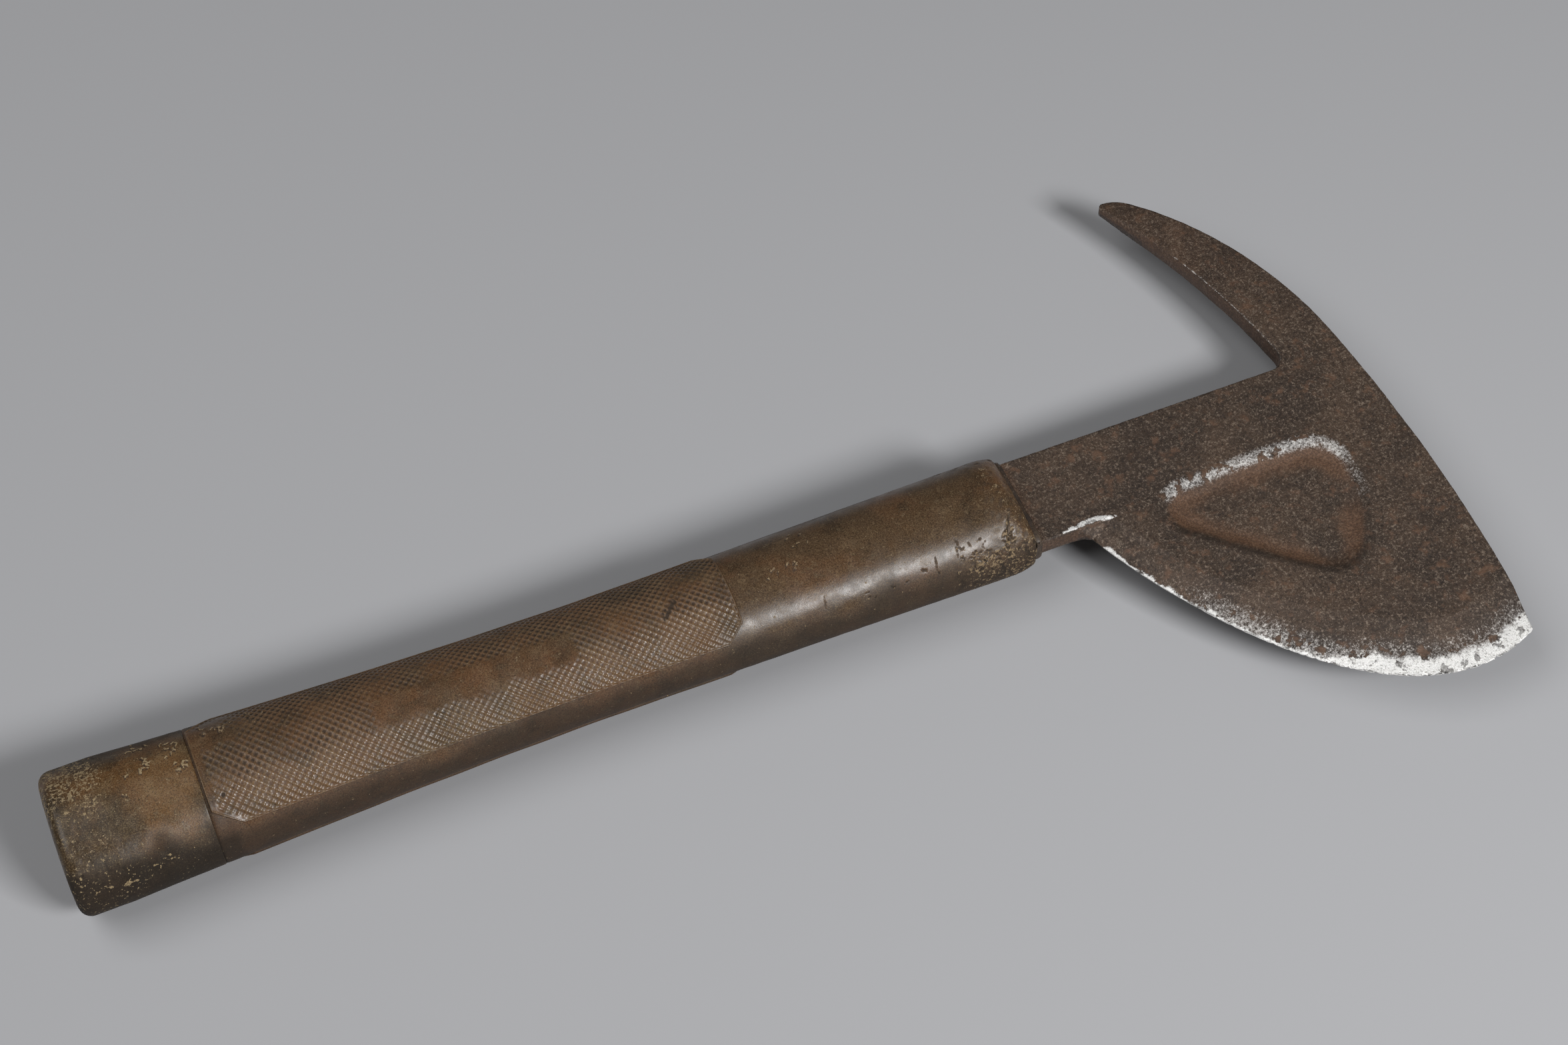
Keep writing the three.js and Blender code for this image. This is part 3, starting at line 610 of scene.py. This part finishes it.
def head_piece(material):
    edge_line = cutting_edge_line(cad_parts["head_forging"].data)
    mesh = sliced_head()
    points = read(mesh)
    normals = read(mesh, "normal")
    plan = points[:, :2]
    upper = np.sign(points[:, 2] - AXIS_Z)
    height = np.abs(points[:, 2] - AXIS_Z)

    # Dish: its CAD wall is eased into a softer one
    inset, way_out = dish_inset(plan)
    sunk = DISH_DEPTH * smooth(-DISH_LIP, DISH_WALL, inset)
    flat_face = np.abs(normals[:, 2]) > 0.5
    eased = np.where(inset > 0, CHEEK_HALF, height) - sunk
    height = np.where((inset > -DISH_LIP) & flat_face, eased, height)
    points[:, 2] = AXIS_Z + upper * height

    # Ground edge: bare metal, nicked along its line
    away, along, nearest = along_line(plan, edge_line)
    share = along / along.max()
    length = along[:, None]
    band = GROUND_HEEL + (GROUND_TOE - GROUND_HEEL) * smooth(0.49, 0.64, share)
    band += 0.5 * MM * drift(length, 7 * MM, 2) + 0.3 * MM * drift(length, 2 * MM, 3)
    band = np.maximum(band, GROUND_LEAST)
    ground = 1 - smooth(0.55 * band, 1.25 * band, away)
    haze = 0.45 * (1 - smooth(0.1, 1.0, away / (band + 11 * MM))) * smooth(0.05, 0.35, share)
    nick = np.clip(drift(length, 1.6 * MM, 5) - 0.7, 0, None) * 0.45 * MM
    lean = plan - nearest
    size = np.linalg.norm(lean, axis=1, keepdims=True)
    lean = np.where(size > 1e-6, lean / np.maximum(size, 1e-9), (0, 1))
    points[:, :2] += lean * (nick * (1 - smooth(0, 3 * MM, away)))[:, None]

    # Worn and rusty places, and among them painted highlights and painted shade
    tilt = np.abs(normals[:, 2])
    at_arris = (height > CHEEK_HALF - 0.8 * MM) & (inset < -1 * MM) & (away > 20 * MM)
    arris = smooth(0.25, 0.6, tilt) * (1 - smooth(0.88, 0.98, tilt)) * at_arris
    # The far rim of each dish is painted bright: partly worn bare steel, partly a painted highlight on the
    # wall that faces the light
    at_rim = smooth(-4 * MM, -0.6 * MM, inset) * (1 - smooth(0.8 * MM, 3.6 * MM, inset))
    rim = at_rim * smooth(-0.2, 0.8, way_out[:, 1] + 0.45 * way_out[:, 0])
    # The near wall of each dish is painted dark: painted shade
    near_wall_shade = 0.7 * smooth(-2 * MM, 0, inset) * (1 - smooth(0.3 * MM, 3 * MM, inset))
    near_wall_shade *= smooth(0.2, 0.8, -way_out[:, 1])
    pick_line = np.array([
        (head_high.x - PICK_ROOT[0] * MM, AXIS_Y + PICK_ROOT[1] * MM),
        (head_high.x - PICK_BACK * MM, head_high.y),
    ])
    from_pick = along_line(plan, pick_line)[0]
    reach = plan[:, 1] - AXIS_Y
    pick_wear = (1 - smooth(1 * MM, 4.5 * MM, from_pick)) * smooth(25 * MM, 45 * MM, reach)
    pick_wear *= 1 - smooth(66 * MM, 78 * MM, reach)
    # The heel's step is painted bright where it slopes: partly worn bare steel, partly a painted highlight
    from_step, along_step, _ = along_line(plan, CHEEK_STEP)
    step_width = CHEEK_STEP_WEAR_AND_SHINE * (0.15 + np.sin(math.pi * along_step / along_step.max()))
    step_wear_and_highlight = 1 - smooth(0.5, 1.2, from_step / step_width)
    worn = 0.32 * arris * (reach < 66 * MM) + 0.5 * rim + 0.3 * pick_wear + 1.1 * step_wear_and_highlight * (tilt > 0.3)
    ring = 0.66 * smooth(-0.5 * MM, 3 * MM, inset) * (1 - smooth(3.5 * MM, 12 * MM, inset))
    ring += 0.15 * (inset > 0)
    ring *= 1 + 0.25 * drift(plan, 9 * MM, 8)
    collar = 1 - smooth(0, 9 * MM, plan[:, 0] - BUTT_END - HANDLE_END)
    sides = 0.8 * (1 - smooth(0.1, 0.4, tilt))
    on_pick = 0.4 * smooth(30 * MM, 60 * MM, reach)
    rust = np.max([ring, 0.8 * collar, sides, on_pick], axis=0)
    tint(mesh, bare=np.maximum(ground, haze) + worn, rust=rust, dark=near_wall_shade)

    out = BUTT_END + HANDLE_END - 1 * MM < points[:, 0]
    swell = 0.05 * MM * drift(points, 12 * MM, 6) + 0.03 * MM * drift(points, 2.4 * MM, 7)
    points += normals * (swell * out)[:, None]
    reshape(mesh, points)
    finish_piece(mesh, material, "head_forging")


# Core

def core_piece(material):
    """The core, cut finer and roughened where its collar shows past the grip."""
    bm = joined_copy("handle_core")
    low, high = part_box("handle_core")
    shown = high.x - COLLAR_SHOWN
    for axis in (0, 1, 2):
        start = shown if axis == 0 else low[axis]
        for i in range(1, int((high[axis] - start) / COLLAR_GRAIN) + 1):
            near = {f for f in bm.faces if max(v.co.x for v in f.verts) > shown}
            cut_faces(bm, near, axis, start + i * COLLAR_GRAIN)
    bmesh.ops.triangulate(bm, faces=[f for f in bm.faces if len(f.verts) > 4])
    mesh = mesh_of(bm, "core")
    points = read(mesh)
    normals = read(mesh, "normal")
    lumps = 0.1 * MM * drift(points, 2.2 * MM, 41) - 0.08 * MM
    lumps *= smooth(shown, shown + 1 * MM, points[:, 0])
    none = np.zeros(len(points))
    tint(mesh, dark=0.3 + 0.3 * drift(points, 3 * MM, 42), pale=none, warm=none + 0.5, worn=none)
    reshape(mesh, points + normals * lumps[:, None])
    finish_piece(mesh, material, "handle_core")


# Grip and butt

def sleeve_points(along, angle):
    """Points of the grip's outside. Past the barrel's end, along runs round the shoulder's curve."""
    barrel_end = HANDLE_END - SHOULDER_ROUND
    barrel = on_handle(np.minimum(along, barrel_end), angle, 0 * along)
    turn = np.clip((along - barrel_end) / SHOULDER_ROUND, 0, math.pi / 2)
    shut = 1 - np.cos(turn)
    across = (barrel[:, 1] - AXIS_Y) / SHOULDER_HALF_WIDTH
    through = (barrel[:, 2] - AXIS_Z) / (SHOULDER_HALF_WIDTH * DEPTH_SHARE)
    size = np.abs(across) ** COLLAR_SQUARENESS + np.abs(through) ** COLLAR_SQUARENESS
    size **= 1 / COLLAR_SQUARENESS
    end_y = AXIS_Y + across / size * SHOULDER_END_HALF_WIDTH
    end_z = AXIS_Z + through / size * SHOULDER_END_HALF_DEPTH
    barrel[:, 0] += SHOULDER_ROUND * np.sin(turn)
    barrel[:, 1] += (end_y - barrel[:, 1]) * shut
    barrel[:, 2] += (end_z - barrel[:, 2]) * shut
    return barrel


def butt_points(along, angle):
    """Points of the butt's outside. Along runs out over the end face, round its edge and up the barrel."""
    face = BUTT_HALF_WIDTH - BUTT_EDGE
    turn = np.clip((along - face) / BUTT_EDGE, 0, math.pi / 2)
    beyond = np.clip(along - face - BUTT_EDGE * math.pi / 2, 0, None)
    place = BUTT_EDGE * (1 - np.cos(turn)) + beyond
    draw = BUTT_EDGE * (1 - np.sin(turn))
    lip = np.clip(place - (SEAM + LIP_LAP - LIP_ROUND), 0, LIP_ROUND)
    draw += LIP_ROUND - np.sqrt(LIP_ROUND**2 - lip**2)
    width = half_width(place)
    over_face = np.clip(along / face, 0, 1)
    out = (width - draw) * over_face
    through = (DEPTH_SHARE * width - draw) * over_face
    return np.stack([BUTT_END + place, AXIS_Y + out * np.sin(angle), AXIS_Z + through * np.cos(angle)], -1)


def marked(points, marks):
    """Which points lie close to a mark on the upper side."""
    flats = unrolled(points)
    away = np.min([along_line(flats, line)[0] for line, *_ in marks], axis=0)
    return (away < MARKED_WITHIN) & (points[:, 2] > AXIS_Z)


def tube(name, rows, around, shape, marks):
    """A closed tube: a flat grid is rolled up by the shape, joined along its seam and closed at its ends.
    Its grid is twice as fine round the marks."""
    bm = bmesh.new()
    made = bmesh.ops.create_grid(bm, x_segments=len(rows) - 1, y_segments=around, size=1)
    flat = np.array([v.co for v in made["verts"]])
    along = np.interp((flat[:, 0] + 1) / 2 * (len(rows) - 1), np.arange(len(rows)), rows)
    for v, point in zip(made["verts"], shape(along, flat[:, 1] * math.pi)):
        v.co = point
    bmesh.ops.remove_doubles(bm, verts=bm.verts, dist=SAME_LINE)
    bmesh.ops.holes_fill(bm, edges=[e for e in bm.edges if e.is_boundary])
    close = marked(np.array([v.co for v in bm.verts]), marks)
    near = {v for v, is_close in zip(bm.verts, close) if is_close}
    fine = [e for e in bm.edges if e.verts[0] in near and e.verts[1] in near]
    bmesh.ops.subdivide_edges(bm, edges=fine, cuts=1, use_grid_fill=True)
    bmesh.ops.recalc_face_normals(bm, faces=bm.faces)
    return mesh_of(bm, name)


def grip_piece(material):
    end = HANDLE_END - SHOULDER_ROUND + SHOULDER_ROUND * math.pi / 2
    barrel_rows = np.arange(SEAM, PANEL_END, BARREL_ROW)
    rows = np.concatenate([barrel_rows, np.arange(PANEL_END, end, SHOULDER_ROW), [end]])
    marks = scattered(SHOULDER_CHIPS, 3) + drawn(SCRATCHES)
    mesh = tube("grip", rows, GRIP_AROUND, sleeve_points, marks)
    points = read(mesh)
    normals = read(mesh, "normal")
    flats = unrolled(points)
    place, across = flats.T
    deep, dark, pale = worn_by(flats, marks)
    top = points[:, 2] > AXIS_Z
    deep *= top
    dark *= top
    pale *= top

    # The lower shoulder is cracked and pitted
    rough = smooth(256 * MM, 268 * MM, place) * smooth(14 * MM, 20 * MM, np.abs(across))
    rough = np.maximum(rough, 0.7 * smooth(268 * MM, 281 * MM, place))
    pits = smooth(0.3, 0.8, drift(points, 1.3 * MM, 11, 14)) * rough
    flecks = smooth(0.5, 1.1, drift(points, 0.9 * MM, 12, 14)) * rough
    swell = 0.07 * MM * drift(points, 16 * MM, 13) + 0.02 * MM * drift(points, 3 * MM, 14)
    tuck = GRIP_TUCK * (1 - smooth(SEAM, SEAM + 0.8 * MM, place))
    lift = swell - deep - 0.14 * MM * pits + 0.05 * MM * flecks - tuck
    strayed = place + 0.8 * MM * drift(flats, 6 * MM, 15)
    dark_band = 0.5 * (1 - smooth(SEAM + 4 * MM, SEAM + 7 * MM, strayed))
    # Both flanks of the grip are darkened: painted shade
    round_from_top = np.abs(across) + 2 * MM * drift(points, 12 * MM, 16)
    painted_flank_shade = 0.8 * smooth(16 * MM, 24 * MM, round_from_top) * (1 - smooth(38 * MM, 46 * MM, round_from_top))
    warm = 0.5 * (1 - smooth(PANEL_END - 20 * MM, PANEL_END + 10 * MM, place))
    dark += 0.7 * pits + dark_band + painted_flank_shade
    pale += 0.15 * rough + 0.1 * flecks
    tint(mesh, worn=np.zeros(len(points)), dark=dark, pale=pale, warm=warm)
    reshape(mesh, points + normals * lift[:, None])
    finish_piece(mesh, material, "grip_sleeve")


def panel_outline():
    """The flat panel's border: a point on each of its eight sides and the way out. The first side faces
    the butt, and the seventh is the corner there on the blade's side. X is the place, Y the way round."""
    outline = [
        (Vector((PANEL_START, 0, 0)), Vector((-1, 0, 0))),
        (Vector((PANEL_END, 0, 0)), Vector((1, 0, 0))),
    ]
    drop = (PANEL_EDGE - PANEL_END_EDGE) * GIRTH
    for way in (1, -1):
        outline.append((Vector((0, way * PANEL_EDGE * GIRTH, 0)), Vector((0, way, 0))))
        ends = ((PANEL_START, PANEL_CHAMFER_BUTT, -1), (PANEL_END, PANEL_CHAMFER_HEAD, 1))
        for end, chamfer, out in ends:
            corner = Vector((end, way * PANEL_END_EDGE * GIRTH, 0))
            outline.append((corner, Vector((out * drop, way * chamfer, 0)).normalized()))
    return outline


def flat_panel(name):
    """A grid laid along the net's lines and trimmed to the panel's outline, with a skirt and a floor."""
    outline = panel_outline()
    step = NET_PITCH / NET_STEPS
    middle = Vector(((PANEL_START + PANEL_END) / 2, 0, 0))
    reach = PANEL_END - PANEL_START + 2 * PANEL_EDGE * GIRTH
    count = int(reach / math.sqrt(2) / step) + 4
    bm = bmesh.new()
    bmesh.ops.create_grid(bm, x_segments=count, y_segments=count, size=count * step / 2)
    bmesh.ops.rotate(bm, verts=bm.verts, matrix=Matrix.Rotation(math.pi / 4, 3, "Z"))
    bmesh.ops.translate(bm, verts=bm.verts, vec=middle)
    for at, outward in outline:
        cut(bm, at, outward, clear=True)
    for inset in (PANEL_LIP, PANEL_BEAD):
        for at, outward in outline:
            cut(bm, at - outward * inset, outward)
    rim = [e for e in bm.edges if e.is_boundary]
    skirt = bmesh.ops.extrude_edge_only(bm, edges=rim)["geom"]
    hem = [g for g in skirt if isinstance(g, bmesh.types.BMVert)]
    bmesh.ops.translate(bm, verts=hem, vec=(0, 0, -SKIRT_HEIGHT))
    bmesh.ops.holes_fill(bm, edges=[e for e in bm.edges if e.is_boundary])
    bmesh.ops.recalc_face_normals(bm, faces=bm.faces)
    return mesh_of(bm, name)


def panel_piece(side, material):
    """One raised panel, with its net worked into the flat grid before it is bent on to the handle."""
    mesh = flat_panel("grip_panel_upper" if side > 0 else "grip_panel_lower")
    points = read(mesh)
    flats = points[:, :2]
    place, across = flats.T
    insets = [(np.array(at)[:2] - flats) @ np.array(outward)[:2] for at, outward in panel_outline()]
    inset = np.min(insets, axis=0)
    from_seam = np.minimum(insets[0], insets[6] + 0.8 * MM) if side > 0 else insets[0]
    beside_tablet = np.abs(across + TABLET_OFFSET) - TABLET_HALF_WIDTH
    from_tablet = np.max([beside_tablet, TABLET_START - place, place - TABLET_END], axis=0)

    # Net: thin ridges both ways with rounded hollows between them, worn unevenly
    from_middle = flats - ((PANEL_START + PANEL_END) / 2, 0)
    strayed = from_middle + 0.07 * MM * np.stack([drift(flats, 11 * MM, 21), drift(flats, 11 * MM, 22)], -1)
    lines = np.stack([strayed.sum(1), strayed[:, 1] - strayed[:, 0]], -1) / math.sqrt(2) / NET_PITCH
    from_line = np.abs(lines - np.round(lines))
    ridges = 1 - smooth(0.0, 0.42, from_line)
    ridge = ridges.max(1)
    knob = ridges.min(1)
    kept = 0.85 + 0.25 * drift(flats, 9 * MM, 23)
    seam_wear = np.hypot((place - 46 * MM) / 10, (across - 9 * MM) / 7) / MM
    kept *= smooth(0.4, 1.4, seam_wear + 0.25 * drift(flats, 4 * MM, 24))
    field = smooth(-1.2 * MM, 2.2 * MM, from_tablet + 0.6 * MM * drift(flats, 4 * MM, 25))
    field *= smooth(0.7 * PANEL_BEAD, 1.6 * PANEL_BEAD, inset)
    field *= smooth(0.75 * PANEL_RIDGE, 1.25 * PANEL_RIDGE, from_seam)
    field *= np.clip(kept, 0, 1.1)
    bead = smooth(0.0, PANEL_LIP, inset) * (1 - smooth(0.7 * PANEL_BEAD, 1.3 * PANEL_BEAD, inset))
    lower = 1 - smooth(-9 * MM, -2 * MM, across + 2 * MM * drift(flats, 8 * MM, 27))
    standing = KNOB_RISE * (0.7 + 0.8 * lower)
    rise = PANEL_RISE - NET_DEPTH * field * (1 - ridge) - standing * field * (1 - knob)
    rise += 0.16 * MM * bead - 0.25 * MM * (1 - smooth(0.0, 0.3 * MM, inset))
    rise += 0.04 * MM * drift(flats, 14 * MM, 26)
    marks = scattered(SEAM_CHIPS, 5) + drawn(STAINS)
    deep, dark, pale = worn_by(flats, marks) if side > 0 else np.zeros((3, len(flats)))
    rise -= deep
    rise = np.where(inset > PANEL_BEAD, np.maximum(rise, NET_FLOOR), rise)
    rise = np.where(points[:, 2] < -SKIRT_HEIGHT / 2, -SKIRT_SUNK, rise)
    from_hole = np.hypot(place - PIN_HOLE[0] * MM, across - math.radians(PIN_HOLE[1]) * GIRTH)
    hole = (1 - smooth(0.75, 1.1, from_hole / PIN_RADIUS)) * (side > 0)
    rise += (PIN_FLOOR - rise) * hole

    # Colours: hollows darkened by grime and by painted shade, less towards the lower side; ridges worn
    # paler and painted as a highlight, more towards the lower side; and a redder patch beside the tablet
    red = smooth(0.0, 1.0, 1.2 - np.hypot((place - 82 * MM) / (22 * MM), (across - 1 * MM) / (9 * MM)))
    dark += (1 - 0.7 * lower) * field * (1 - ridge)
    # The lower panel's sides are darkened towards the flanks: painted shade
    if side < 0:
        dark += 0.6 * smooth(9 * MM, 17 * MM, np.abs(across))
    worn = field * ridge * (0.5 + 0.5 * ridge) * (0.45 + 0.55 * lower) + 0.5 * bead
    # The pin hole is painted near black: painted shade inside the hole
    dark = np.maximum(dark, 1.6 * hole)
    pale *= 1 - hole
    worn *= 1 - hole
    tint(mesh, dark=dark, pale=pale, warm=0.4 + 0.5 * red, worn=worn)
    angle = across / GIRTH
    reshape(mesh, on_handle(place, angle if side > 0 else math.pi - angle, rise))
    if side < 0:
        mesh.flip_normals()
    finish_piece(mesh, material, "grip_sleeve")


def butt_piece(material):
    face = BUTT_HALF_WIDTH - BUTT_EDGE
    curve = BUTT_EDGE * math.pi / 2
    end = face + curve + SEAM + LIP_LAP - BUTT_EDGE
    rows = np.concatenate([
        np.linspace(0, face, BUTT_FACE_ROWS)[1:-1],
        np.linspace(face, face + curve, BUTT_EDGE_ROWS)[:-1],
        np.linspace(face + curve, end - LIP_ROUND, BUTT_BARREL_ROWS)[:-1],
        np.linspace(end - LIP_ROUND, end, BUTT_LIP_ROWS),
    ])
    marks = scattered(BUTT_CHIPS, 8)
    mesh = tube("butt", rows, BUTT_AROUND, butt_points, marks)
    points = read(mesh)
    normals = read(mesh, "normal")
    flats = unrolled(points)
    place, across = flats.T
    deep, dark, pale = worn_by(flats, marks)
    top = points[:, 2] > AXIS_Z
    deep *= top
    dark *= top
    pale *= top

    # The end is scuffed to small pale flecks, most of all on its upper corner
    lean = points[:, 1] - AXIS_Y
    scuffed = 1 - smooth(12 * MM, 22 * MM, place + 3 * MM * drift(points, 9 * MM, 31))
    scuffed *= 0.35 + 0.65 * smooth(-6 * MM, 5 * MM, lean + 2 * MM * drift(points, 8 * MM, 32))
    pits = smooth(0.7, 1.2, drift(points, 1.2 * MM, 34, 16)) * scuffed
    swell = 0.06 * MM * drift(points, 14 * MM, 35) + 0.012 * MM * drift(points, 2.5 * MM, 36)
    patch = np.exp(-(((place - 33 * MM) / (8 * MM)) ** 2 + ((across + 4 * MM) / (10 * MM)) ** 2))
    # The butt is darkened along its far and near sides: painted shade
    far_side_shade = 0.7 * smooth(8 * MM, 18 * MM, lean + 2 * MM * drift(points, 6 * MM, 37))
    near_side_shade = 1 - smooth(-20 * MM, -14 * MM, lean + 1.5 * MM * drift(points, 6 * MM, 38))
    dark += 0.5 * pits + far_side_shade + near_side_shade
    tint(mesh, dark=dark, pale=pale + 0.18 * scuffed + 0.02, warm=patch, worn=0.3 * patch)
    reshape(mesh, points + normals * (swell - deep - 0.07 * MM * pits)[:, None])
    finish_piece(mesh, material, "butt_cap")


# Stage

def stage():
    floor_mesh = bpy.data.meshes.new("floor")
    bm = bmesh.new()
    bmesh.ops.create_grid(bm, x_segments=1, y_segments=1, size=FLOOR_HALF)
    bm.to_mesh(floor_mesh)
    bm.free()
    floor = bpy.data.objects.new("floor", floor_mesh)
    bpy.context.scene.collection.objects.link(floor)
    s = Shader("floor")
    floor_mesh.materials.append(s.finish(Base_Color=FLOOR_COLOR, Roughness=0.9))
    floor.location.z = cad_box[0].z - FLOOR_GAP


def lamp(name, at, size, power):
    """A lamp that faces the middle of the floor under the axe."""
    light = bpy.data.lights.new(name, "AREA")
    light.shape = "RECTANGLE"
    light.size, light.size_y = size
    light.energy = power
    holder = bpy.data.objects.new(name, light)
    holder.location = at
    holder.rotation_euler = (-Vector(at)).to_track_quat("-Z", "Y").to_euler()
    bpy.context.scene.collection.objects.link(holder)


def lights():
    lamp("key", *KEY_LAMP)
    lamp("overhead", *OVERHEAD_LAMP)
    world = bpy.data.worlds.new("studio")
    world.use_nodes = True
    background = world.node_tree.nodes["Background"]
    background.inputs["Color"].default_value = WORLD_COLOR
    background.inputs["Strength"].default_value = WORLD_STRENGTH
    bpy.context.scene.world = world


def camera():
    data = bpy.data.cameras.new("camera")
    data.lens = LENS
    data.sensor_width = SENSOR
    holder = bpy.data.objects.new("camera", data)
    looking = Vector((
        math.cos(VIEW_DROP) * math.cos(VIEW_TURN),
        math.cos(VIEW_DROP) * math.sin(VIEW_TURN),
        -math.sin(VIEW_DROP),
    ))
    holder.location = VIEW_AT - looking * VIEW_DISTANCE
    holder.rotation_euler = looking.to_track_quat("-Z", "Y").to_euler()
    bpy.context.scene.collection.objects.link(holder)
    bpy.context.scene.camera = holder


camera()
stage()
lights()
steel = patinated_steel()
grip_rubber = rubber("grip")
butt_rubber = rubber("butt")
core_rubber = rubber("core")
head_piece(steel)
grip_piece(grip_rubber)
panel_piece(1, grip_rubber)
panel_piece(-1, grip_rubber)
butt_piece(butt_rubber)
core_piece(core_rubber)

bpy.context.scene.view_settings.view_transform = "Standard"
